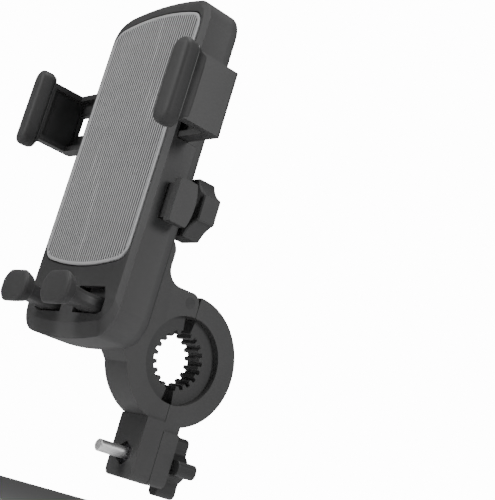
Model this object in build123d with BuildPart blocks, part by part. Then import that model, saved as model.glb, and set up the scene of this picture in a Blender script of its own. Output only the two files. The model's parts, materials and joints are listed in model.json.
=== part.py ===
from build123d import *
import math
import os

os.makedirs("parts", exist_ok=True)

# A handlebar phone mount.  Millimetres.  The origin is the centre of the handlebar bore:
# X is the bore's axis, -Y is the side the phone rests on, and +Z runs up the cradle.

# ------------------------------------------------------------------ driving sizes
# cradle casing
cradle_width = 64.0
cradle_top = 129.7
cradle_bottom = -7.4
end_arch = 150.0
cradle_corner = 11.0
front_y = -52.1
back_y = -36.2
shell_wall = 2.0
back_thickness = 3.5
back_rounding = 1.2
front_bevel = 2.3
front_bevel_depth = 1.6
chin_bevel = 5.6
floor_thickness = 2.9

# silicone pad
pad_side_margin = 3.4
pad_top_margin = 5.4
pad_bottom_margin = 27.8
pad_arch = 115.0
pad_thickness = 1.4
pad_pocket = 1.0
pad_gap = 0.6
pad_corner = 7.0

# clamping arms and their sliders
arm_overhang = 19.0
arm_height = 25.0
arm_below_top = 45.8
arm_front_y = -63.4
arm_web = 2.2
arm_flange = 2.2
arm_wall_depth = 4.4
arm_bend = 1.4
slider_layer = 2.3
layer_gap = 0.4
slide_clearance = 0.3
arm_opening = 1.5
arm_closing = 12.0
window_height = 9.0
window_width = 11.0
spine_inner = 19.5
spine_inset = 4.2

# release tab on the far end of the left arm's slider
tab_bar_height = 13.0
tab_lip_height = 16.6
tab_overhang = 8.0
tab_lip_thickness = 3.6
tab_lip_front = -47.2
tab_lip_back = -39.6

# rack and pinion that keeps the arms centred
pinion_z = 47.7
gear_module = 1.0
pinion_teeth = 12
pinion_bore = 1.65
post_clearance = 0.05
rack_bar = 4.1
backlash = 0.45
spring_wire = 0.5
spring_turns = 2
spring_radius = 4.0

# arm cushions
cushion_length = 33.0
cushion_width = 8.8
cushion_thickness = 6.0
cushion_lean = 6.0
cushion_inset = 2.8
cushion_y = -67.0
cushion_drop = 1.0

# feet
foot_spacing = 29.4
foot_z = 5.8
foot_inward = 3.5
foot_outward = 1.4
foot_root_width = 13.0
foot_root_height = 6.6
foot_waist_width = 10.6
foot_waist_height = 5.8
foot_tip_y = -64.8
foot_plate_margin = 1.2
foot_plate_thickness = 1.8
foot_cap_width = 18.0
foot_cap_height = 12.4
foot_cap_front = -68.4
foot_cap_back = -63.4
foot_cap_z = 6.8

# lock knob
lock_inset = 3.4
lock_z = 49.5
lock_radius = 12.2
lock_front = -35.2
lock_back = -27.3
lock_screw_radius = 1.5
lock_insert_radius = 2.4
lock_boss_radius = 3.2
running_clearance = 0.05

# handlebar clamp
clamp_width = 15.6
ring_radius = 26.0
bore_radius = 17.5
seam_gap = 0.2
neck_top = 26.4
neck_back = -18.0
neck_fillet = 6.6
neck_high = 52.0
neck_low = 4.0
plate_width = 54.0
plate_low = 12.0
plate_high = 36.5
plate_thickness = 3.2
plate_chamfer = 6.0
flange_bottom = -49.0
front_flange = 9.0
rear_flange = 8.0
flange_width = 17.6
flange_corner = 3.0
hinge_gap = 0.2
hinge_z = 22.2
hinge_pin_radius = 2.4
ear_wall = 1.9
knuckle_wall = 1.2
knuckle_width = 6.4
knuckle_clearance = 0.3
pin_head = 2.0

# toothed rubber inserts
insert_width = 9.6
tooth_tip_radius = 10.2
tooth_root_radius = 11.8
tooth_pitch_angle = 18.0
teeth_per_insert = 9
tooth_root_angle = 11.0
tooth_tip_angle = 7.0
insert_half_angle = 81.0
insert_clearance = 0.1

# clamp bolt
bolt_z = -39.8
bolt_radius = 2.4
bolt_end_y = -21.3
bolt_clearance = 0.3
nut_wall = 1.6
nut_thickness = 4.0
nut_recess = 1.2
slot_clearance = 0.4
washer_rim = 2.6
washer_thickness = 1.0
knob_lobe_reach = 12.2
knob_lobe_radius = 3.0
knob_hub_radius = 6.2
knob_front_gap = 0.3
knob_thickness = 9.2
knob_valley = 1.6

# fasteners inside
screw_radius = 1.25
screw_head_radius = 2.4
screw_head_height = 1.4
boss_radius = 2.3
casing_screw_inset = 5.2
casing_screw_end_inset = 11.4
casing_screw_top_inset = 11.0
plate_screw_x = 22.5
plate_screw_low = 18.5
plate_screw_high = 31.0

# ------------------------------------------------------------------ sizes that follow
pad_width = cradle_width - 2 * pad_side_margin
pad_top = cradle_top - pad_top_margin
pad_bottom = cradle_bottom + pad_bottom_margin
arm_reach = cradle_width / 2 + arm_overhang
arm_centre_z = cradle_top - arm_below_top
spine_outer = cradle_width / 2 - spine_inset
tab_reach = cradle_width / 2 + tab_overhang
cushion_x = arm_reach - cushion_inset
lock_x = cradle_width / 2 - lock_inset
ear_radius = hinge_pin_radius + ear_wall
knuckle_radius = hinge_pin_radius + knuckle_wall
hinge_y = -(ear_radius + hinge_gap)
casing_screw_x = cradle_width / 2 - casing_screw_inset
casing_screw_low = cradle_bottom + casing_screw_end_inset
casing_screw_high = cradle_top - casing_screw_top_inset
nut_flats = 2 * (bolt_radius + nut_wall)
washer_radius = bolt_radius + washer_rim
floor_front = front_y
floor_back = floor_front + floor_thickness
bevel_back = front_y + front_bevel_depth
split_y = back_y - back_thickness
arm_low = arm_centre_z - arm_height / 2
arm_high = arm_centre_z + arm_height / 2
front_layer = floor_back + slide_clearance
front_layer_back = front_layer + slider_layer
rear_layer = front_layer_back + layer_gap
rear_layer_back = rear_layer + slider_layer
pitch_radius = gear_module * pinion_teeth / 2
addendum = 0.85 * gear_module
dedendum = 1.15 * gear_module
rack_root = pitch_radius + dedendum
rack_outer = rack_root + rack_bar
plate_back = back_y + plate_thickness
half_bore = seam_gap / 2
tab_low = pinion_z - tab_bar_height / 2
tab_high = pinion_z + tab_bar_height / 2
tab_bar_end = tab_reach - tab_lip_thickness
inner_half = cradle_width / 2 - shell_wall
tab_step = inner_half - arm_closing - 1.0
wall_notches = (
    (-1, arm_low, arm_high, floor_back),
    (1, arm_low, arm_high, floor_back),
    (1, tab_low, tab_high, rear_layer - slide_clearance),
)
pinion_gap = pitch_radius + addendum + arm_opening + 0.5


# ------------------------------------------------------------------ shapes used more than once
def slab(x0, x1, y0, y1, z0, z1):
    """A plain block between two corners."""
    with BuildPart() as block:
        with Locations(((x0 + x1) / 2, (y0 + y1) / 2, (z0 + z1) / 2)):
            Box(abs(x1 - x0), abs(y1 - y0), abs(z1 - z0))
    return block.part


def rod(radius, y_back, y_front, x, z):
    """A round bar along Y between two depths."""
    with BuildPart() as bar:
        with BuildSketch(Plane.XZ.offset(-y_back)):
            with Locations((x, z)):
                Circle(radius)
        extrude(amount=y_back - y_front)
    return bar.part


def arched_outline(y, width, top, bottom, corner, arch):
    """A flat outline with straight sides, gently arched ends and rounded corners."""
    half = width / 2
    drop = arch - math.sqrt(arch**2 - half**2)
    with BuildSketch(Plane.XZ.offset(-y)) as outline:
        with BuildLine():
            Line((half, bottom + drop), (half, top - drop))
            ThreePointArc((half, top - drop), (0, top), (-half, top - drop))
            Line((-half, top - drop), (-half, bottom + drop))
            ThreePointArc((-half, bottom + drop), (0, bottom), (half, bottom + drop))
        make_face()
        fillet(outline.vertices(), corner)
    return outline.sketch


def arched_slab(y_back, y_front, width, top, bottom, corner, arch):
    """A plate with that outline between two depths."""
    with BuildPart() as plate:
        add(arched_outline(y_back, width, top, bottom, corner, arch))
        extrude(amount=y_back - y_front, dir=(0, -1, 0))
    return plate.part


def countersunk_screw(x, z, y_head, y_tip):
    """A screw along Y whose flat head is level with y_head, without its cross recess."""
    with BuildPart() as screw:
        add(rod(screw_radius, y_head, y_tip, x, z))
        with BuildSketch(Plane.XZ.offset(-y_head)):
            with Locations((x, z)):
                Circle(screw_head_radius)
        with BuildSketch(Plane.XZ.offset(-(y_head - screw_head_height))):
            with Locations((x, z)):
                Circle(screw_radius)
        loft()
    return screw.part


casing_screw_places = [
    (x, z)
    for x in (-casing_screw_x, casing_screw_x)
    for z in (casing_screw_low, casing_screw_high)
]
plate_screw_places = [
    (x, z)
    for x in (-plate_screw_x, plate_screw_x)
    for z in (plate_screw_low, plate_screw_high)
]

# ------------------------------------------------------------------ front shell
slot_low = foot_z - foot_root_height / 2 - slide_clearance
slot_high = foot_z + foot_root_height / 2 + 3.4
slot_in = foot_spacing / 2 - foot_root_width / 2 - foot_inward - slide_clearance
slot_out = foot_spacing / 2 + foot_root_width / 2 + foot_outward + 3 * slide_clearance
slot_bevel = 2.4

with BuildPart() as front_shell:
    add(arched_slab(split_y, bevel_back, cradle_width, cradle_top, cradle_bottom, cradle_corner, end_arch))
    add(arched_outline(bevel_back, cradle_width, cradle_top, cradle_bottom, cradle_corner, end_arch))
    add(
        arched_outline(
            front_y,
            cradle_width - 2 * front_bevel,
            cradle_top - front_bevel,
            cradle_bottom + chin_bevel,
            cradle_corner - front_bevel,
            end_arch,
        )
    )
    loft()
    add(
        arched_slab(
            split_y,
            floor_back,
            cradle_width - 2 * shell_wall,
            cradle_top - shell_wall,
            cradle_bottom + shell_wall,
            cradle_corner - shell_wall,
            end_arch,
        ),
        mode=Mode.SUBTRACT,
    )
    # pocket of the pad
    add(
        arched_slab(
            front_y + pad_pocket,
            front_y,
            pad_width + 2 * pad_gap,
            pad_top + pad_gap,
            pad_bottom - pad_gap,
            pad_corner + pad_gap,
            pad_arch,
        ),
        mode=Mode.SUBTRACT,
    )
    # slots that the feet slide in
    for side in (-1, 1):
        with BuildSketch(Plane.XZ.offset(-floor_back)):
            with BuildLine():
                Polyline(
                    (side * slot_in, slot_low),
                    (side * (slot_out - slot_bevel), slot_low),
                    (side * slot_out, slot_low + slot_bevel / 2),
                    (side * slot_out, slot_high - 2 * slot_bevel),
                    (side * (slot_out - slot_bevel), slot_high),
                    (side * slot_in, slot_high),
                    close=True,
                )
            make_face()
        extrude(amount=floor_thickness, mode=Mode.SUBTRACT)
    # notches in the side walls for the arms, and on the right for the tab
    for side, low, high, notch_front in wall_notches:
        wall_in = side * (inner_half - 1)
        wall_out = side * (cradle_width / 2 + 1)
        notch_low = low - slide_clearance
        notch_high = high + slide_clearance
        add(slab(wall_in, wall_out, split_y, notch_front, notch_low, notch_high), mode=Mode.SUBTRACT)
    # screw bosses
    for x, z in casing_screw_places:
        add(rod(boss_radius, split_y, floor_back, x, z))
        add(rod(screw_radius, split_y, split_y - 5.0, x, z), mode=Mode.SUBTRACT)
front_shell.part.label = "front_shell"
export_step(front_shell.part, "parts/front_shell.step")

# ------------------------------------------------------------------ rear shell
guide_low = foot_z - 1.2
guide_high = foot_z + 1.2
foot_plate_front = floor_back + slide_clearance
foot_plate_back = foot_plate_front + foot_plate_thickness
lock_boss_front = rear_layer_back + 0.9
tongue_fit = 0.1

with BuildPart() as rear_shell:
    add(arched_slab(back_y, split_y, cradle_width, cradle_top, cradle_bottom, cradle_corner, end_arch))
    fillet(rear_shell.faces().sort_by(Axis.Y)[-1].edges(), back_rounding)
    # tongues that close the notches behind the arms and the tab
    tongue_front = rear_layer_back + slide_clearance
    for side, low, high, _ in wall_notches:
        tongue_in = side * inner_half
        tongue_out = side * cradle_width / 2
        tongue_bottom = low - slide_clearance + tongue_fit
        tongue_top = high + slide_clearance - tongue_fit
        add(slab(tongue_in, tongue_out, split_y, tongue_front, tongue_bottom, tongue_top))
    # rail that keeps the feet against the floor
    rail_half = slot_out
    add(slab(-rail_half, rail_half, split_y, foot_plate_back + slide_clearance, guide_low, guide_high))
    # post of the pinion and boss of the lock screw
    add(rod(pinion_bore - post_clearance, split_y, floor_back + slide_clearance, 0, pinion_z))
    add(rod(lock_boss_radius, split_y, lock_boss_front, lock_x, lock_z))
    add(rod(lock_insert_radius, back_y, rear_layer_back, lock_x, lock_z), mode=Mode.SUBTRACT)
    for x, z in casing_screw_places:
        add(countersunk_screw(x, z, back_y, split_y), mode=Mode.SUBTRACT)
    for x, z in plate_screw_places:
        add(rod(screw_radius, back_y, split_y, x, z), mode=Mode.SUBTRACT)
rear_shell.part.label = "rear_shell"
export_step(rear_shell.part, "parts/rear_shell.step")

with BuildPart() as casing_screws:
    for x, z in casing_screw_places:
        add(countersunk_screw(x, z, back_y, split_y - 4.6))
        with Locations((x, back_y, z)):
            Box(3.0, 1.0, 0.7, mode=Mode.SUBTRACT)
            Box(0.7, 1.0, 3.0, mode=Mode.SUBTRACT)
casing_screws.part.label = "casing_screws"
export_step(casing_screws.part, "parts/casing_screws.step")

# ------------------------------------------------------------------ grip pad
with BuildPart() as grip_pad:
    pad_back = front_y + pad_pocket
    pad_front = pad_back - pad_thickness
    add(arched_slab(pad_back, pad_front, pad_width, pad_top, pad_bottom, pad_corner, pad_arch))
    fillet(grip_pad.faces().sort_by(Axis.Y)[0].edges(), 0.5)
grip_pad.part.label = "grip_pad"
export_step(grip_pad.part, "parts/grip_pad.step")


# ------------------------------------------------------------------ arms
def rack_teeth(root_z, direction, y_back, y_front):
    """Teeth of a rack with a gap at x = 0, pointing up or down from root_z."""
    pitch = math.pi * gear_module
    tooth_count = math.ceil((arm_opening + arm_closing) / pitch) + 3
    first = -math.ceil((arm_opening + pitch) / pitch) + 0.5
    tip_half = (pitch / 2 - backlash / 2) / 2 - addendum * math.tan(math.radians(20))
    root_half = (pitch / 2 - backlash / 2) / 2 + dedendum * math.tan(math.radians(20))
    tip_z = root_z + direction * (addendum + dedendum)
    with BuildPart() as teeth:
        with BuildSketch(Plane.XZ.offset(-y_back)):
            for n in range(tooth_count):
                x = (first + n) * pitch
                with BuildLine():
                    Polyline(
                        (x - root_half, root_z - direction * 0.3),
                        (x - root_half, root_z),
                        (x - tip_half, tip_z),
                        (x + tip_half, tip_z),
                        (x + root_half, root_z),
                        (x + root_half, root_z - direction * 0.3),
                        close=True,
                    )
                make_face()
        extrude(amount=y_back - y_front)
    return teeth.part


def arm_slider(y_front, y_back, rack_side, with_tab):
    """The arm on the right, its slider in one layer, and the tab on the left if it has one."""
    with BuildPart() as slider:
        # L-shaped channel: the base under the phone and the wall beside it
        with BuildSketch(Plane.XY.offset(arm_low)) as section:
            with BuildLine():
                Polyline(
                    (spine_inner, rear_layer_back),
                    (arm_reach, rear_layer_back),
                    (arm_reach, arm_front_y),
                    (arm_reach - arm_wall_depth, arm_front_y),
                    (arm_reach - arm_wall_depth, front_layer),
                    (spine_inner, front_layer),
                    close=True,
                )
            make_face()
            fillet(section.vertices().group_by(Axis.X)[-1].sort_by(Axis.Y)[-1], arm_bend)
        extrude(amount=arm_height)
        # the channel is open towards the phone
        add(
            slab(
                spine_inner,
                arm_reach - arm_web,
                rear_layer_back - arm_web,
                front_layer - 1,
                arm_low + arm_flange,
                arm_high - arm_flange,
            ),
            mode=Mode.SUBTRACT,
        )
        add(
            slab(
                arm_reach - arm_wall_depth - 1,
                arm_reach - arm_web,
                front_layer,
                arm_front_y + arm_web,
                arm_low + arm_flange,
                arm_high - arm_flange,
            ),
            mode=Mode.SUBTRACT,
        )
        window_out = arm_reach - arm_web - 0.6
        add(
            slab(
                window_out - window_width,
                window_out,
                rear_layer_back + 1,
                rear_layer_back - arm_web - 1,
                arm_centre_z - window_height / 2,
                arm_centre_z + window_height / 2,
            ),
            mode=Mode.SUBTRACT,
        )
        # spine and rack in the slider's own layer
        rack_far = pinion_z + rack_side * rack_outer
        rack_near = pinion_z + rack_side * rack_root
        bar_low = min(rack_far, rack_near)
        bar_high = max(rack_far, rack_near)
        add(slab(spine_inner, spine_outer, y_back, y_front, bar_low, arm_high))
        add(slab(-tab_step, spine_outer, y_back, y_front, bar_low, bar_high))
        add(rack_teeth(rack_near, -rack_side, y_back, y_front))
        # tab bar and the lip at its end
        if with_tab:
            add(slab(-tab_step, -pinion_gap, y_back, y_front, min(bar_low, tab_low), max(bar_high, tab_high)))
            add(slab(-tab_bar_end - 0.5, -tab_step, y_back, y_front, tab_low, tab_high))
            with BuildSketch(Plane.YZ.offset(-tab_reach)) as lip:
                with BuildLine():
                    low = pinion_z - tab_lip_height / 2
                    high = pinion_z + tab_lip_height / 2
                    Line((tab_lip_back, low), (tab_lip_front, low))
                    Line((tab_lip_front, low), (tab_lip_front, high))
                    Line((tab_lip_front, high), (tab_lip_back, high))
                    ThreePointArc((tab_lip_back, high), (tab_lip_back + 1.6, pinion_z), (tab_lip_back, low))
                make_face()
                fillet(lip.vertices(), 0.8)
            extrude(amount=tab_lip_thickness)
        # peg that carries the cushion
        add(
            slab(
                cushion_x - 1.2,
                cushion_x + 1.2,
                arm_front_y + 0.5,
                cushion_y,
                arm_centre_z - 7,
                arm_centre_z + 7,
            )
        )
    return slider


right_arm = arm_slider(front_layer, front_layer_back, 1, False)
right_arm.part.label = "right_arm"
export_step(right_arm.part, "parts/right_arm.step")

with BuildPart() as left_arm:
    add(arm_slider(rear_layer, rear_layer_back, -1, True).part)
    mirror(about=Plane.YZ, mode=Mode.REPLACE)
left_arm.part.label = "left_arm"
export_step(left_arm.part, "parts/left_arm.step")


def cushion(side):
    """A leaning rubber cushion with round ends that covers an arm's front edge."""
    lean = math.radians(cushion_lean)
    across = (side * math.cos(lean), math.sin(lean), 0)
    forward = (side * math.sin(lean), -math.cos(lean), 0)
    middle = (side * cushion_x, cushion_y, arm_centre_z - cushion_drop)
    with BuildPart() as pill:
        with BuildSketch(Plane(origin=middle, x_dir=across, z_dir=forward)):
            Rectangle(cushion_width, cushion_length)
        extrude(amount=cushion_thickness / 2, both=True)
        long_edges = pill.edges().filter_by(lambda e: abs(e.length - cushion_thickness) < 1e-3)
        fillet(long_edges, cushion_width / 2 - 0.1)
        fillet(pill.faces().sort_by(Axis.Y)[0].edges(), 1.5)
        peg_x = side * cushion_x
        add(
            slab(peg_x - 1.2, peg_x + 1.2, arm_front_y + 0.5, cushion_y, arm_centre_z - 7, arm_centre_z + 7),
            mode=Mode.SUBTRACT,
        )
        add(
            slab(side * 20, side * 60, 0, arm_front_y, arm_low - 20, arm_high + 20),
            mode=Mode.SUBTRACT,
        )
    return pill


right_arm_cap = cushion(1)
right_arm_cap.part.label = "right_arm_cap"
export_step(right_arm_cap.part, "parts/right_arm_cap.step")

left_arm_cap = cushion(-1)
left_arm_cap.part.label = "left_arm_cap"
export_step(left_arm_cap.part, "parts/left_arm_cap.step")

# ------------------------------------------------------------------ pinion and its spring
pinion_front = front_layer
pinion_back = rear_layer_back
side_r = pitch_radius
side_turn = (math.pi / 2 - backlash / 2) / pinion_teeth
with BuildPart() as sync_pinion:
    with BuildSketch(Plane.XZ.offset(-pinion_back)):
        with Locations((0, pinion_z)):
            Circle(pitch_radius - dedendum)
        root_r = pitch_radius - dedendum - 0.2
        tip_r = pitch_radius + addendum
        for n in range(pinion_teeth):
            mid = math.radians(90) + 2 * math.pi * n / pinion_teeth
            root_turn = side_turn * 1.35
            tip_turn = side_turn * 0.36
            with BuildLine():
                Polyline(
                    (root_r * math.cos(mid - root_turn), pinion_z + root_r * math.sin(mid - root_turn)),
                    (side_r * math.cos(mid - side_turn), pinion_z + side_r * math.sin(mid - side_turn)),
                    (tip_r * math.cos(mid - tip_turn), pinion_z + tip_r * math.sin(mid - tip_turn)),
                    (tip_r * math.cos(mid + tip_turn), pinion_z + tip_r * math.sin(mid + tip_turn)),
                    (side_r * math.cos(mid + side_turn), pinion_z + side_r * math.sin(mid + side_turn)),
                    (root_r * math.cos(mid + root_turn), pinion_z + root_r * math.sin(mid + root_turn)),
                    close=True,
                )
            make_face()
    extrude(amount=pinion_back - pinion_front)
    add(rod(pinion_bore, pinion_back, pinion_front, 0, pinion_z), mode=Mode.SUBTRACT)
sync_pinion.part.label = "sync_pinion"
export_step(sync_pinion.part, "parts/sync_pinion.step")

spring_length = split_y - rear_layer_back - spring_wire - 0.5
with BuildPart() as return_spring:
    start = (0, split_y - spring_wire / 2 - 0.1, pinion_z)
    pitch = spring_length / spring_turns
    with BuildLine() as coil:
        Helix(pitch, spring_length, spring_radius, center=start, direction=(0, -1, 0))
    with BuildSketch(Plane(origin=coil.line @ 0, z_dir=coil.line % 0)):
        Circle(spring_wire / 2)
    sweep(is_frenet=True)
return_spring.part.label = "return_spring"
export_step(return_spring.part, "parts/return_spring.step")


# ------------------------------------------------------------------ feet
def foot(side):
    """A foot: a guide plate inside the casing and a waisted stem."""
    x = side * foot_spacing / 2
    with BuildPart() as body:
        half_plate = foot_root_width / 2 + foot_plate_margin
        add(
            slab(
                x - half_plate,
                x + half_plate,
                foot_plate_back,
                foot_plate_front,
                slot_low - foot_plate_margin,
                slot_high + foot_plate_margin,
            )
        )
        sections = (
            (foot_plate_front, foot_root_width, foot_root_height, foot_z),
            ((floor_front + foot_tip_y) / 2, foot_waist_width, foot_waist_height, foot_z + 0.3),
            (foot_tip_y, foot_root_width - 1, foot_root_height, foot_cap_z),
        )
        for y, width, height, z in sections:
            with BuildSketch(Plane.XZ.offset(-y)):
                with Locations((x, z)):
                    RectangleRounded(width, height, 2.0)
        loft()
    return body


def foot_cap(side):
    """A flared rubber cap on the tip of a foot."""
    x = side * foot_spacing / 2
    with BuildPart() as cap:
        for y, grow in ((foot_cap_back, -1.6), (foot_cap_front + 1.6, 0.0)):
            with BuildSketch(Plane.XZ.offset(-y)) as outline:
                with Locations((x, foot_cap_z)):
                    Rectangle(foot_cap_width + 2 * grow, foot_cap_height + 2 * grow)
                chamfer(outline.vertices(), 3.2 + grow / 2)
                fillet(outline.vertices(), 1.8)
        loft()
        front = cap.faces().sort_by(Axis.Y)[0]
        extrude(front, amount=1.6)
        fillet(cap.faces().sort_by(Axis.Y)[0].edges(), 1.2)
        add(foot(side).part, mode=Mode.SUBTRACT)
    return cap


for side, name in ((1, "right"), (-1, "left")):
    stem = foot(side)
    stem.part.label = f"{name}_foot"
    export_step(stem.part, f"parts/{name}_foot.step")
    tip = foot_cap(side)
    tip.part.label = f"{name}_foot_cap"
    export_step(tip.part, f"parts/{name}_foot_cap.step")

# ------------------------------------------------------------------ lock knob
lock_tip = rear_layer_back + 0.25
with BuildPart() as lock_knob:
    with BuildSketch(Plane.XZ.offset(-lock_back)):
        with Locations((lock_x, lock_z)):
            RegularPolygon(lock_radius, 8, rotation=22.5)
            with PolarLocations(lock_radius * 1.72, 4, start_angle=45):
                Circle(lock_radius * 0.86, mode=Mode.SUBTRACT)
    extrude(amount=lock_back - lock_front)
    rim_faces = lock_knob.faces().filter_by(Axis.Y)
    chamfer(rim_faces.edges(), 0.5)
    add(rod(5.0, lock_front, back_y + 0.3, lock_x, lock_z))
    add(rod(lock_screw_radius, lock_back - 2.0, back_y + 0.3, lock_x, lock_z), mode=Mode.SUBTRACT)
lock_knob.part.label = "lock_knob"
export_step(lock_knob.part, "parts/lock_knob.step")

with BuildPart() as lock_screw:
    add(rod(lock_screw_radius, lock_back - 2.0, lock_tip, lock_x, lock_z))
lock_screw.part.label = "lock_screw"
export_step(lock_screw.part, "parts/lock_screw.step")

with BuildPart() as lock_insert:
    add(rod(lock_insert_radius, back_y, lock_boss_front, lock_x, lock_z))
    add(
        rod(lock_screw_radius + running_clearance, back_y, lock_boss_front, lock_x, lock_z),
        mode=Mode.SUBTRACT,
    )
lock_insert.part.label = "lock_insert"
export_step(lock_insert.part, "parts/lock_insert.step")

# ------------------------------------------------------------------ clamp body
half_clamp = clamp_width / 2
half_flange = flange_width / 2
half_cut = max(half_clamp, half_flange) + 1
tongue_low = hinge_z - 2.2

with BuildPart() as clamp_body:
    # neck and front half ring
    with BuildSketch(Plane.YZ) as profile:
        Circle(ring_radius)
        with BuildLine():
            Polyline(
                (back_y, neck_low),
                (back_y, neck_high),
                (back_y + 8, neck_high - 1.5),
                (neck_back, neck_high - 12),
                (neck_back, neck_top),
                (hinge_y, neck_top),
                (hinge_y, 0),
                (-ring_radius + 1.2, -8),
                close=True,
            )
        make_face()
        corner = profile.vertices().filter_by(
            lambda v: abs(v.X - neck_back) < 0.01 and abs(v.Y - neck_top) < 0.01
        )
        fillet(corner, neck_fillet)
        soft = profile.vertices().filter_by(
            lambda v: abs(v.X - neck_back) < 0.01 and abs(v.Y - (neck_high - 12)) < 0.01
        )
        fillet(soft, 5.0)
        with Locations((hinge_y, hinge_z)):
            Circle(ear_radius)
    extrude(amount=half_clamp, both=True)
    # mounting plate on the back of the cradle
    with BuildSketch(Plane.XZ.offset(-plate_back)) as plate_outline:
        with Locations((0, (plate_low + plate_high) / 2)):
            Rectangle(plate_width, plate_high - plate_low)
        chamfer(plate_outline.vertices(), plate_chamfer)
    extrude(amount=plate_thickness)
    # front flange
    add(slab(-half_flange, half_flange, -front_flange, 0, flange_bottom, bore_radius - ring_radius - 16.0))
    flange_edges = clamp_body.edges().filter_by(Axis.Y).group_by(Axis.Z)[0]
    fillet(flange_edges, flange_corner)
    # everything behind the seam belongs to the jaw
    add(
        slab(-half_cut, half_cut, -half_bore, ring_radius + 2, flange_bottom - 1, hinge_z),
        mode=Mode.SUBTRACT,
    )
    add(
        slab(-half_cut, half_cut, hinge_y + ear_radius, ring_radius + 2, hinge_z - 1, neck_high),
        mode=Mode.SUBTRACT,
    )
    with BuildSketch(Plane.YZ):
        with BuildLine():
            top = hinge_z + ear_radius + 1
            Line((hinge_y, hinge_z), (hinge_y + ear_radius, hinge_z))
            Line((hinge_y + ear_radius, hinge_z), (hinge_y + ear_radius, top))
            Line((hinge_y + ear_radius, top), (hinge_y, top))
            Line((hinge_y, top), (hinge_y, hinge_z))
        make_face()
        with Locations((hinge_y, hinge_z)):
            Circle(ear_radius, mode=Mode.SUBTRACT)
    extrude(amount=half_clamp + 1, both=True, mode=Mode.SUBTRACT)
    # bore for the insert
    with BuildSketch(Plane.YZ):
        Circle(bore_radius)
    extrude(amount=half_flange + 1, both=True, mode=Mode.SUBTRACT)
    # fork for the jaw's knuckle, and the pin's hole
    fork_half = knuckle_width / 2 + knuckle_clearance
    with BuildSketch(Plane.YZ):
        with Locations((hinge_y, hinge_z)):
            Circle(knuckle_radius + knuckle_clearance)
        with Locations((hinge_y / 2 + 1, (hinge_z + neck_top + 4) / 2)):
            Rectangle(abs(hinge_y) + 2, neck_top + 4 - hinge_z)
        with Locations((hinge_y / 2 + 1, hinge_z - 1.4)):
            Rectangle(abs(hinge_y) + 2, 2.8)
    extrude(amount=fork_half, both=True, mode=Mode.SUBTRACT)
    with BuildSketch(Plane.YZ):
        with Locations((hinge_y, hinge_z)):
            Circle(hinge_pin_radius)
    extrude(amount=half_clamp + 1, both=True, mode=Mode.SUBTRACT)
    # bolt hole and the hexagonal pocket of the nut
    add(rod(bolt_radius + bolt_clearance, 0, -front_flange, 0, bolt_z), mode=Mode.SUBTRACT)
    with BuildSketch(Plane.XZ.offset(front_flange)):
        with Locations((0, bolt_z)):
            RegularPolygon(nut_flats / 2 + 0.1, 6, major_radius=False, rotation=90)
    extrude(amount=-(nut_thickness + nut_recess), mode=Mode.SUBTRACT)
    for x, z in plate_screw_places:
        add(rod(screw_radius, plate_back - 0.7, back_y, x, z), mode=Mode.SUBTRACT)
clamp_body.part.label = "clamp_body"
export_step(clamp_body.part, "parts/clamp_body.step")

with BuildPart() as neck_screws:
    for x, z in plate_screw_places:
        add(rod(screw_radius, plate_back - 0.7, split_y, x, z))
        add(rod(screw_head_radius, split_y, split_y - screw_head_height, x, z))
neck_screws.part.label = "neck_screws"
export_step(neck_screws.part, "parts/neck_screws.step")

# ------------------------------------------------------------------ clamp jaw
with BuildPart() as clamp_jaw:
    with BuildSketch(Plane.YZ):
        Circle(ring_radius)
    extrude(amount=half_clamp, both=True)
    add(slab(-half_clamp, half_clamp, 0, rear_flange, flange_bottom, -ring_radius + 6))
    add(slab(-half_flange, half_flange, 0, rear_flange, flange_bottom, -ring_radius - 1.8))
    jaw_bottom = clamp_jaw.edges().filter_by(Axis.Y).group_by(Axis.Z)[0]
    fillet(jaw_bottom, flange_corner)
    add(
        slab(-half_cut, half_cut, half_bore, -ring_radius - 2, flange_bottom - 1, ring_radius + 2),
        mode=Mode.SUBTRACT,
    )
    # knuckle on the pin and the tongue that joins it to the ring
    with BuildSketch(Plane.YZ):
        with Locations((hinge_y, hinge_z)):
            Circle(knuckle_radius)
        with BuildLine():
            Polyline(
                (hinge_y, hinge_z + knuckle_radius),
                (half_bore + 2, hinge_z + 1.0),
                (half_bore + 2, tongue_low),
                (hinge_y, tongue_low),
                close=True,
            )
        make_face()
    extrude(amount=knuckle_width / 2, both=True)
    with BuildSketch(Plane.YZ):
        Circle(bore_radius)
    extrude(amount=half_flange + 1, both=True, mode=Mode.SUBTRACT)
    with BuildSketch(Plane.YZ):
        with Locations((hinge_y, hinge_z)):
            Circle(hinge_pin_radius + running_clearance)
    extrude(amount=half_clamp, both=True, mode=Mode.SUBTRACT)
    # the bolt's slot is open at the bottom
    slot_half = bolt_radius + slot_clearance
    add(rod(slot_half, rear_flange, 0, 0, bolt_z), mode=Mode.SUBTRACT)
    add(slab(-slot_half, slot_half, 0, rear_flange, flange_bottom - 1, bolt_z), mode=Mode.SUBTRACT)
clamp_jaw.part.label = "clamp_jaw"
export_step(clamp_jaw.part, "parts/clamp_jaw.step")

with BuildPart() as hinge_pin:
    with BuildSketch(Plane.YZ.offset(-half_clamp)):
        with Locations((hinge_y, hinge_z)):
            Circle(hinge_pin_radius)
    extrude(amount=clamp_width)
    with BuildSketch(Plane.YZ.offset(-half_clamp)):
        with Locations((hinge_y, hinge_z)):
            Circle(hinge_pin_radius + 0.6)
    extrude(amount=-pin_head)
    fillet(hinge_pin.edges().group_by(Axis.X)[0], 0.6)
hinge_pin.part.label = "hinge_pin"
export_step(hinge_pin.part, "parts/hinge_pin.step")


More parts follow.
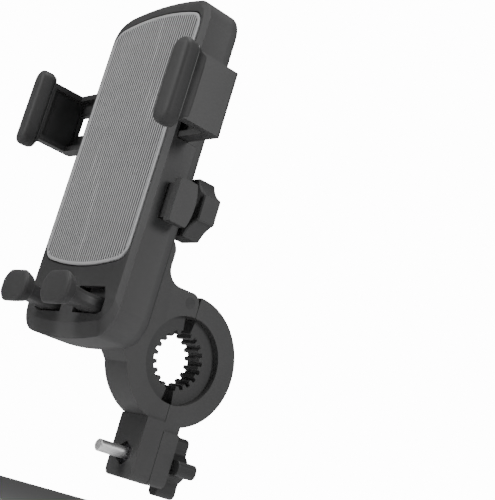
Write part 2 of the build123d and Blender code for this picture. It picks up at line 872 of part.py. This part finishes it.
# ------------------------------------------------------------------ toothed inserts
def insert(side):
    """A half sleeve with teeth towards the handlebar, on one side of the seam."""
    outer = bore_radius - insert_clearance
    with BuildPart() as half:
        with BuildSketch(Plane.YZ):
            Circle(outer)
            Circle(tooth_root_radius, mode=Mode.SUBTRACT)
            # keep the sector that leaves a wedge open at the seam
            with BuildLine():
                reach = outer * 2
                open_angle = math.radians(insert_half_angle)
                edge_y = side * reach * math.cos(open_angle)
                edge_z = reach * math.sin(open_angle)
                Polyline(
                    (0, 0),
                    (edge_y, edge_z),
                    (side * reach, edge_z),
                    (side * reach, -edge_z),
                    (edge_y, -edge_z),
                    close=True,
                )
            make_face(mode=Mode.INTERSECT)
        extrude(amount=insert_width / 2, both=True)
        with BuildSketch(Plane.YZ):
            first = -tooth_pitch_angle * (teeth_per_insert - 1) / 2
            for n in range(teeth_per_insert):
                mid = math.radians(first + n * tooth_pitch_angle)
                root_turn = math.radians(tooth_root_angle / 2)
                tip_turn = math.radians(tooth_tip_angle / 2)
                deep = tooth_root_radius + 0.4
                with BuildLine():
                    a = (side * deep * math.cos(mid - root_turn), deep * math.sin(mid - root_turn))
                    b = (
                        side * tooth_tip_radius * math.cos(mid - tip_turn),
                        tooth_tip_radius * math.sin(mid - tip_turn),
                    )
                    m = (side * tooth_tip_radius * math.cos(mid), tooth_tip_radius * math.sin(mid))
                    c = (
                        side * tooth_tip_radius * math.cos(mid + tip_turn),
                        tooth_tip_radius * math.sin(mid + tip_turn),
                    )
                    d = (side * deep * math.cos(mid + root_turn), deep * math.sin(mid + root_turn))
                    Line(a, b)
                    ThreePointArc(b, m, c)
                    Line(c, d)
                    Line(d, a)
                make_face()
        extrude(amount=insert_width / 2, both=True)
    return half


front_insert = insert(-1)
front_insert.part.label = "front_insert"
export_step(front_insert.part, "parts/front_insert.step")

rear_insert = insert(1)
rear_insert.part.label = "rear_insert"
export_step(rear_insert.part, "parts/rear_insert.step")

# ------------------------------------------------------------------ clamp bolt, nut, washer and knob
washer_front = rear_flange
washer_back = washer_front + washer_thickness
knob_front = washer_back + knob_front_gap
knob_back = knob_front + knob_thickness

with BuildPart() as clamp_bolt:
    add(rod(bolt_radius, knob_back - 2.0, bolt_end_y, 0, bolt_z))
    chamfer(clamp_bolt.edges().group_by(Axis.Y)[0], 0.4)
clamp_bolt.part.label = "clamp_bolt"
export_step(clamp_bolt.part, "parts/clamp_bolt.step")

nut_front = -front_flange + nut_recess
with BuildPart() as clamp_nut:
    with BuildSketch(Plane.XZ.offset(-nut_front)):
        with Locations((0, bolt_z)):
            RegularPolygon(nut_flats / 2, 6, major_radius=False, rotation=90)
            Circle(bolt_radius + running_clearance, mode=Mode.SUBTRACT)
    extrude(amount=-nut_thickness)
clamp_nut.part.label = "clamp_nut"
export_step(clamp_nut.part, "parts/clamp_nut.step")

with BuildPart() as clamp_washer:
    add(rod(washer_radius, washer_back, washer_front, 0, bolt_z))
    add(rod(bolt_radius + running_clearance, washer_back, washer_front, 0, bolt_z), mode=Mode.SUBTRACT)
clamp_washer.part.label = "clamp_washer"
export_step(clamp_washer.part, "parts/clamp_washer.step")

with BuildPart() as clamp_knob:
    with BuildSketch(Plane.XZ.offset(-knob_back)) as star:
        with Locations((0, bolt_z)):
            Circle(knob_hub_radius)
            with PolarLocations(knob_lobe_reach / 2, 4):
                Rectangle(knob_lobe_reach, 2 * knob_lobe_radius)
        fillet(
            star.vertices().filter_by(
                lambda v: math.hypot(v.X, v.Y - bolt_z) > knob_lobe_reach - 1
            ),
            knob_lobe_radius - 0.6,
        )
        fillet(
            star.vertices().filter_by(
                lambda v: math.hypot(v.X, v.Y - bolt_z) < knob_hub_radius + 0.1
            ),
            knob_valley,
        )
    extrude(amount=knob_thickness)
    fillet(clamp_knob.faces().filter_by(Axis.Y).edges(), 0.5)
    add(rod(bolt_radius, knob_back - 2.0, knob_front, 0, bolt_z), mode=Mode.SUBTRACT)
clamp_knob.part.label = "clamp_knob"
export_step(clamp_knob.part, "parts/clamp_knob.step")
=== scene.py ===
import json
import math

import bmesh
import bpy
from mathutils import Matrix, Vector


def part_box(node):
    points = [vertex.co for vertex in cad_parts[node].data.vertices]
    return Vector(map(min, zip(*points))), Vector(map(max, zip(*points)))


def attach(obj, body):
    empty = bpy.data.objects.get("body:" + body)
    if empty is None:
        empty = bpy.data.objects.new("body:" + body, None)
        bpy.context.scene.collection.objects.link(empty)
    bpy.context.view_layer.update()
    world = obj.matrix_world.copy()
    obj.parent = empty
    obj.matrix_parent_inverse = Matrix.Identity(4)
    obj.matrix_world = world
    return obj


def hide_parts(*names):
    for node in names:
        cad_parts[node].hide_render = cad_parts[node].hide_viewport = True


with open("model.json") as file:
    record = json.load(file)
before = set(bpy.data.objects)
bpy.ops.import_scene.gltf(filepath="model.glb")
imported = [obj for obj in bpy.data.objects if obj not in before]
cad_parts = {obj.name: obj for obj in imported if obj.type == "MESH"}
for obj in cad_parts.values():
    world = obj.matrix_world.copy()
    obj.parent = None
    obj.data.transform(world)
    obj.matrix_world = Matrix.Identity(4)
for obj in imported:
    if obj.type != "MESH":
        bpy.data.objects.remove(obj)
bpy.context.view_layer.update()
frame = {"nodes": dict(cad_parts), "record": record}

MM = 0.001


# ---------------------------------------------------------------- materials
def blank(name):
    """A new material: itself, its node tree, its shader and the coordinates of the object."""
    material = bpy.data.materials.new(name)
    material.use_nodes = True
    tree = material.node_tree
    return material, tree, tree.nodes["Principled BSDF"], tree.nodes.new("ShaderNodeTexCoord")


def noise(tree, place, scale, detail):
    node = tree.nodes.new("ShaderNodeTexNoise")
    node.inputs["Scale"].default_value = scale
    node.inputs["Detail"].default_value = detail
    tree.links.new(place.outputs["Object"], node.inputs["Vector"])
    return node


def bumped(tree, height, shader, strength, distance):
    bump = tree.nodes.new("ShaderNodeBump")
    bump.inputs["Strength"].default_value = strength
    bump.inputs["Distance"].default_value = distance
    tree.links.new(height.outputs["Fac"], bump.inputs["Height"])
    tree.links.new(bump.outputs["Normal"], shader.inputs["Normal"])


def roughened(tree, source, shader, low, high):
    rough = tree.nodes.new("ShaderNodeMapRange")
    rough.inputs["To Min"].default_value = low
    rough.inputs["To Max"].default_value = high
    tree.links.new(source.outputs["Fac"], rough.inputs["Value"])
    tree.links.new(rough.outputs["Result"], shader.inputs["Roughness"])


def plastic(name, tone, roughness=0.45, grain=0.1, grain_size=2600.0, mottle=0.12, sheen=0.0):
    """Moulded plastic or rubber: a fine grain, a faint mottle and a painted highlight that makes
    sharp convex edges paler.
    """
    material, tree, shader, place = blank(name)
    shader.inputs["Specular IOR Level"].default_value = 0.5
    shader.inputs["Sheen Weight"].default_value = sheen
    fine = noise(tree, place, grain_size, 3.0)
    broad = noise(tree, place, 60.0, 4.0)
    ramp = tree.nodes.new("ShaderNodeValToRGB")
    ends = ramp.color_ramp.elements
    for end, position, level in zip(ends, (0.3, 0.72), (tone * (1 - mottle), tone * (1 + mottle))):
        end.position = position
        end.color = (level, level, level * 1.01, 1)
    tree.links.new(broad.outputs["Fac"], ramp.inputs["Fac"])
    # painted highlight: convex edges, found by pointiness, get a paler colour that stands in for the
    # light they catch
    geometry = tree.nodes.new("ShaderNodeNewGeometry")
    edge = tree.nodes.new("ShaderNodeMapRange")
    edge.inputs["From Min"].default_value = 0.53
    edge.inputs["From Max"].default_value = 0.62
    edge.inputs["To Max"].default_value = 0.5
    tree.links.new(geometry.outputs["Pointiness"], edge.inputs["Value"])
    painted_edge_highlight = tree.nodes.new("ShaderNodeMix")
    painted_edge_highlight.data_type = "RGBA"
    highlight_tone = tone * 2.2
    painted_edge_highlight.inputs["B"].default_value = (highlight_tone, highlight_tone, highlight_tone, 1)
    tree.links.new(edge.outputs["Result"], painted_edge_highlight.inputs["Factor"])
    tree.links.new(ramp.outputs["Color"], painted_edge_highlight.inputs["A"])
    tree.links.new(painted_edge_highlight.outputs["Result"], shader.inputs["Base Color"])
    roughened(tree, broad, shader, max(0.05, roughness - 0.05), min(1.0, roughness + 0.07))
    bumped(tree, fine, shader, grain, 0.00004)
    return material


def metal(name, colour, roughness):
    """Plated metal with faint turning marks."""
    material, tree, shader, place = blank(name)
    shader.inputs["Metallic"].default_value = 1.0
    marks = noise(tree, place, 900.0, 2.0)
    tint = tree.nodes.new("ShaderNodeValToRGB")
    tint.color_ramp.elements[0].color = (*[c * 0.88 for c in colour], 1)
    tint.color_ramp.elements[1].color = (*[min(1, c * 1.06) for c in colour], 1)
    tree.links.new(marks.outputs["Fac"], tint.inputs["Fac"])
    tree.links.new(tint.outputs["Color"], shader.inputs["Base Color"])
    roughened(tree, marks, shader, roughness * 0.8, roughness * 1.4)
    bumped(tree, marks, shader, 0.1, 0.00003)
    return material


casing = plastic("casing_plastic", 0.041, roughness=0.56)
arm_plastic = plastic("arm_plastic", 0.034, roughness=0.42)
clamp_plastic = plastic("clamp_plastic", 0.034, roughness=0.5)
knob_plastic = plastic("knob_plastic", 0.032, roughness=0.45)
natural = plastic("natural_plastic", 0.55, roughness=0.45, mottle=0.04)
silicone = plastic("silicone_pad", 0.39, roughness=0.55, grain=0.15, mottle=0.05)
# painted shade: a darker copy of the pad's silicone, standing in for the shade that falls in the
# grooves between the ribs
silicone_painted_groove_shade = plastic("silicone_pad_painted_groove_shade", 0.1, roughness=0.7, grain=0.1, mottle=0.05)
rubber = plastic("soft_rubber", 0.026, roughness=0.62, grain=0.2, grain_size=3600.0, sheen=0.1)
steel = metal("bright_steel", (0.97, 0.97, 0.98), 0.38)
dark_steel = metal("black_oxide", (0.06, 0.06, 0.065), 0.4)
brass = metal("brass", (0.75, 0.58, 0.3), 0.25)

finish = {
    "casing": casing,
    "arm_plastic": arm_plastic,
    "clamp_plastic": clamp_plastic,
    "knob_plastic": knob_plastic,
    "inner_plastic": natural,
    "silicone_pad": silicone,
    "rubber": rubber,
    "steel": steel,
    "dark_steel": dark_steel,
    "brass": brass,
}
for row in frame["record"]["subparts"]:
    node = frame["nodes"][row["node"]]
    node.data.materials.clear()
    node.data.materials.append(finish[row["material_slot"]])



# ---------------------------------------------------------------- mesh helpers, in millimetres
def box_mm(node):
    """Lowest and highest corner of a CAD node."""
    return tuple([c / MM for c in corner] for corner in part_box(node))


def finished(name, mesh, material, body, node=None, subdivide=0):
    """Makes a piece of a mesh; it rides on a body, and may stand for a CAD node."""
    data = bpy.data.meshes.new(name)
    mesh.to_mesh(data)
    mesh.free()
    data.shade_smooth()
    piece = bpy.data.objects.new(name, data)
    bpy.context.collection.objects.link(piece)
    data.materials.append(material)
    if subdivide:
        smooth = piece.modifiers.new("smooth", "SUBSURF")
        smooth.levels = subdivide
        smooth.render_levels = subdivide
    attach(piece, body)
    if node:
        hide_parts(node)
    return piece


def lofted(name, loops, material, body, node=None, close_last=True, subdivide=1):
    """A skin through loops that all have the same number of points."""
    mesh = bmesh.new()
    rings = [[mesh.verts.new([c * MM for c in point]) for point in loop] for loop in loops]
    count = len(loops[0])
    for low, high in zip(rings, rings[1:]):
        for k in range(count):
            n = (k + 1) % count
            mesh.faces.new((low[k], low[n], high[n], high[k]))
    mesh.faces.new(reversed(rings[0]))
    if close_last:
        mesh.faces.new(rings[-1])
    bmesh.ops.recalc_face_normals(mesh, faces=mesh.faces)
    return finished(name, mesh, material, body, node, subdivide)


def arc(cx, cz, radius, start, end, steps):
    """Points of an arc between two angles in degrees."""
    return [
        (cx + radius * math.cos(a), cz + radius * math.sin(a))
        for a in (math.radians(start + (end - start) * k / steps) for k in range(steps + 1))
    ]


def arched_loop(half, top, bottom, corner, arch):
    """The pad's outline: straight sides, gently arched ends and rounded corners."""
    cx = half - corner
    drop = math.sqrt((arch - corner) ** 2 - cx**2)
    lean = math.degrees(math.asin(cx / (arch - corner)))
    gap = 0.5
    loop = []
    for turn, middle, near in ((90, top - arch, 1), (270, bottom + arch, -1)):
        corner_z = middle + near * drop
        loop += arc(near * cx, corner_z, corner, turn - 90, turn - lean, 10)
        loop += arc(0, middle, arch, turn - lean + gap, turn + lean - gap, 24)
        loop += arc(-near * cx, corner_z, corner, turn + lean, turn + 90, 10)
    return loop


# ---------------------------------------------------------------- ribbed pad
(_, pad_front, pad_bottom), (pad_half, pad_back, pad_top) = box_mm("grip_pad")
pad_arch, pad_corner = 115.0, 7.0
border = 1.25


def pad_loop(inset, y):
    loop = arched_loop(
        pad_half - inset, pad_top - inset, pad_bottom + inset, pad_corner - inset, pad_arch - inset
    )
    return [(x, y, z) for x, z in loop]


# the smooth border, from the back over the rim and down inside
border_loops = [
    pad_loop(inset, y)
    for inset, y in (
        (0.0, pad_back),
        (0.0, pad_front + 0.45),
        (0.12, pad_front + 0.14),
        (0.4, pad_front),
        (border - 0.25, pad_front),
        (border, pad_front + 0.1),
        (border + 0.05, pad_back - 0.05),
    )
]
lofted(
    "pad_border", border_loops, silicone, "cradle", "grip_pad", close_last=False, subdivide=0
)


def pad_end(x, end):
    """Height of the ribbed field's edge at x, above (end = 1) or below (end = -1)."""
    half, corner, arch = pad_half - border, pad_corner - border, pad_arch - border
    edge = pad_top - border if end > 0 else pad_bottom + border
    cx = half - corner
    centre = edge - end * arch
    corner_z = centre + end * math.sqrt((arch - corner) ** 2 - cx**2)
    if abs(x) > cx * arch / (arch - corner):
        return corner_z + end * math.sqrt(max(0.0, corner**2 - (abs(x) - cx) ** 2))
    return centre + end * math.sqrt(arch**2 - x**2)


rib_count = 38
groove_depth = 0.6
# one rib with its groove: share of the pitch and depth below the pad's face
rib_profile = (
    (0.0, groove_depth),
    (0.3, groove_depth),
    (0.36, 0.14),
    (0.46, 0.0),
    (0.72, 0.0),
    (0.82, 0.14),
    (0.88, groove_depth),
)
rib_spans = 18
field = 2 * (pad_half - border)
pitch = field / rib_count
stations = [(-field / 2 + (n + a) * pitch, d) for n in range(rib_count) for a, d in rib_profile]
stations.append((field / 2, groove_depth))
ribs = bmesh.new()
previous = None
for x, depth in stations:
    high, low = pad_end(x, 1), pad_end(x, -1)
    column = [
        ribs.verts.new((x * MM, (pad_front + depth) * MM, (low + (high - low) * k / rib_spans) * MM))
        for k in range(rib_spans + 1)
    ]
    if previous:
        for k in range(rib_spans):
            ribs.faces.new((previous[k], column[k], column[k + 1], previous[k + 1]))
    previous = column
bmesh.ops.recalc_face_normals(ribs, faces=ribs.faces)
rib_field = finished("pad_ribs", ribs, silicone, "cradle")
# painted shade: the faces down in the grooves get the darker copy of the silicone
rib_field.data.materials.append(silicone_painted_groove_shade)
for face in rib_field.data.polygons:
    if face.center.y > (pad_front + 0.25) * MM:
        face.material_index = 1


# ---------------------------------------------------------------- arm cushions
def stadium(half_width, half_length):
    """A slot-shaped outline."""
    middle = half_length - half_width
    return arc(0, middle, half_width, 0, 180, 12) + arc(0, -middle, half_width, 180, 360, 12)


cushion_lean = math.radians(6)
# inset of the outline, and the share of the half thickness, from back to crown
cushion_profile = (
    (1.5, -1.0),
    (0.35, -1.0),
    (0.0, -0.85),
    (0.0, 0.2),
    (0.12, 0.5),
    (0.45, 0.72),
    (1.05, 0.88),
    (2.0, 0.97),
    (3.3, 1.0),
)
wall_inset = 1.15
arm_half_height = 12.5
# distance behind the cushion's back, half width, half length, share of the way to the arm's wall
flare_profile = (
    (-0.9, 3.6, 15.6, 0.0),
    (-0.2, 4.15, 16.1, 0.0),
    (0.35, 4.0, 15.9, 0.0),
    (0.8, 3.2, 15.1, 0.2),
    (1.5, 2.2, 14.0, 0.55),
    (2.5, 1.5, 13.0, 0.85),
    (4.2, 1.2, 12.5, 1.0),
    (5.5, 1.1, 12.3, 1.0),
)


def arm_cushion(side, cap, body):
    """A domed cushion in the CAD cushion's box, leaning to the outside."""
    low, high = box_mm(cap)
    centre = (Vector(low) + Vector(high)) / 2
    across = Vector((side * math.cos(cushion_lean), math.sin(cushion_lean), 0))
    out = Vector((side * math.sin(cushion_lean), -math.cos(cushion_lean), 0))
    half_thickness = (high[1] - low[1]) / 2 - 0.45
    half_width = (high[0] - low[0]) / 2 - 0.15
    half_length = (high[2] - low[2]) / 2
    loops = []
    for inset, share in cushion_profile:
        middle = centre + out * (share * half_thickness)
        outline = stadium(half_width - inset, half_length - inset)
        loops.append([tuple(middle + across * u + Vector((0, 0, v))) for u, v in outline])
    lofted(f"{cap}_pad", loops, rubber, body, cap)


def arm_flare(side, cap, arm, body):
    """The flared rim that carries a cushion and runs back into the arm's wall."""
    low, high = box_mm(cap)
    arm_low, arm_high = box_mm(arm)
    cap_x, cap_z = (low[0] + high[0]) / 2, (low[2] + high[2]) / 2
    wall_x = (arm_high if side > 0 else arm_low)[0] - side * wall_inset
    wall_z = arm_high[2] - arm_half_height
    loops = []
    for back, half_width, half_length, share in flare_profile:
        cx, cz = cap_x + (wall_x - cap_x) * share, cap_z + (wall_z - cap_z) * share
        loops.append([(cx + u, high[1] + back, cz + v) for u, v in stadium(half_width, half_length)])
    lofted(f"{arm}_flare", loops, arm_plastic, body)


for side, name in ((1, "right"), (-1, "left")):
    arm_cushion(side, f"{name}_arm_cap", f"{name}_arm_body")
for side, name in ((1, "right"), (-1, "left")):
    arm_flare(side, f"{name}_arm_cap", f"{name}_arm", f"{name}_arm_body")


# ---------------------------------------------------------------- foot caps
def octagon(half_width, half_height, cut, rounding):
    """An eight-sided outline with rounded corners."""
    corners = [
        (half_width, half_height - cut),
        (half_width - cut, half_height),
        (cut - half_width, half_height),
        (-half_width, half_height - cut),
        (-half_width, cut - half_height),
        (cut - half_width, -half_height),
        (half_width - cut, -half_height),
        (half_width, cut - half_height),
    ]
    loop = []
    for k in range(8):
        p, q, r = Vector(corners[k - 1]), Vector(corners[k]), Vector(corners[(k + 1) % 8])
        a = q + (p - q).normalized() * rounding
        b = q + (r - q).normalized() * rounding
        for t in (0.0, 0.33, 0.67, 1.0):
            loop.append(tuple(a.lerp(q, t).lerp(q.lerp(b, t), t)))
    return loop


# inset of the outline, and the share of the depth, from back to front
shoe_profile = (
    (3.2, 0.0),
    (1.5, 0.0),
    (1.15, 0.06),
    (0.75, 0.3),
    (0.3, 0.55),
    (0.05, 0.68),
    (0.0, 0.78),
    (0.15, 0.9),
    (0.55, 0.965),
    (1.3, 0.985),
    (3.4, 1.0),
)


def foot_tip(cap, body):
    """The rubber shoe of a foot: narrow behind, widest near the front, with a soft front edge."""
    low, high = box_mm(cap)
    cx, cz = (low[0] + high[0]) / 2, (low[2] + high[2]) / 2
    half_width, half_height = (high[0] - low[0]) / 2, (high[2] - low[2]) / 2
    loops = []
    for inset, share in shoe_profile:
        cut = max(0.8, 3.4 - 0.35 * inset)
        outline = octagon(half_width - inset, half_height - inset, cut, 1.5 if inset < 2 else 0.9)
        y = high[1] + (low[1] - high[1]) * share
        loops.append([(cx + u, y, cz + v) for u, v in outline])
    lofted(f"{cap}_shoe", loops, rubber, body, cap)


for name in ("right", "left"):
    foot_tip(f"{name}_foot_cap", f"{name}_foot_body")

# ---------------------------------------------------------------- softened edges on the moulded nodes
edge_widths = {
    "front_shell": 0.35,
    "right_arm": 0.45,
    "left_arm": 0.45,
    "lock_knob": 0.4,
    "clamp_body": 0.4,
    "clamp_jaw": 0.4,
    "hinge_pin": 0.35,
    "right_foot": 0.3,
    "left_foot": 0.3,
    "front_insert": 0.2,
    "rear_insert": 0.2,
}
for node, width in edge_widths.items():
    soft = frame["nodes"][node].modifiers.new("soft_edges", "BEVEL")
    soft.width = width * MM
    soft.segments = 2
    soft.limit_method = "ANGLE"
    soft.angle_limit = math.radians(35)

# ---------------------------------------------------------------- camera
right = Vector((0.642, 0.7175, 0.2704)).normalized()
ahead = Vector((-0.7667, 0.5993, 0.2301)).normalized()
up = right.cross(ahead).normalized()
right = ahead.cross(up).normalized()
turn = Matrix((right, up, -ahead)).transposed()
camera_data = bpy.data.cameras.new("camera")
camera_data.sensor_width = 36.0
camera_data.lens = 83.5
camera_data.clip_start = 0.01
camera = bpy.data.objects.new("camera", camera_data)
camera.matrix_world = Matrix.Translation(Vector((0.3697, -0.2675, -0.0566))) @ turn.to_4x4()
bpy.context.collection.objects.link(camera)
bpy.context.scene.camera = camera


# ---------------------------------------------------------------- light and floor
def soft_light(name, place, size, power):
    """A round area light that faces the middle of the object."""
    data = bpy.data.lights.new(name, "AREA")
    data.shape = "DISK"
    data.size = size
    data.energy = power
    lamp = bpy.data.objects.new(name, data)
    lamp.location = place
    lamp.rotation_euler = (Vector(middle) - Vector(place)).to_track_quat("-Z", "Y").to_euler()
    bpy.context.collection.objects.link(lamp)


middle = (0.0, -0.03, 0.04)
soft_light("key", (1.3, 0.2, 0.5), 0.5, 9.2)
soft_light("front", (-0.12, -0.95, 0.5), 0.3, 6.5)
soft_light("top", (0.1, -0.1, 0.95), 0.2, 4.5)

# the backdrop is far brighter to the camera than the light it gives
backdrop_strength = 14.0
fill_strength = 0.09
world = bpy.data.worlds.new("studio")
bpy.context.scene.world = world
world.use_nodes = True
world_nodes, world_links = world.node_tree.nodes, world.node_tree.links
shown = world_nodes.new("ShaderNodeBackground")
lit = world_nodes["Background"]
for background, strength in ((shown, backdrop_strength), (lit, fill_strength)):
    background.inputs["Color"].default_value = (1, 1, 1, 1)
    background.inputs["Strength"].default_value = strength
path = world_nodes.new("ShaderNodeLightPath")
mix = world_nodes.new("ShaderNodeMixShader")
world_links.new(path.outputs["Is Camera Ray"], mix.inputs["Fac"])
world_links.new(lit.outputs["Background"], mix.inputs[1])
world_links.new(shown.outputs["Background"], mix.inputs[2])
world_links.new(mix.outputs["Shader"], world_nodes["World Output"].inputs["Surface"])

floor_mesh = bmesh.new()
bmesh.ops.create_grid(floor_mesh, x_segments=4, y_segments=4, size=6.0)
floor_data = bpy.data.meshes.new("floor")
floor_mesh.to_mesh(floor_data)
floor_mesh.free()
floor = bpy.data.objects.new("floor", floor_data)
floor.location = (0, 0, -0.12)
bpy.context.collection.objects.link(floor)
floor_data.materials.append(plastic("floor_paper", 0.9, roughness=0.9, mottle=0.02, grain=0.02))
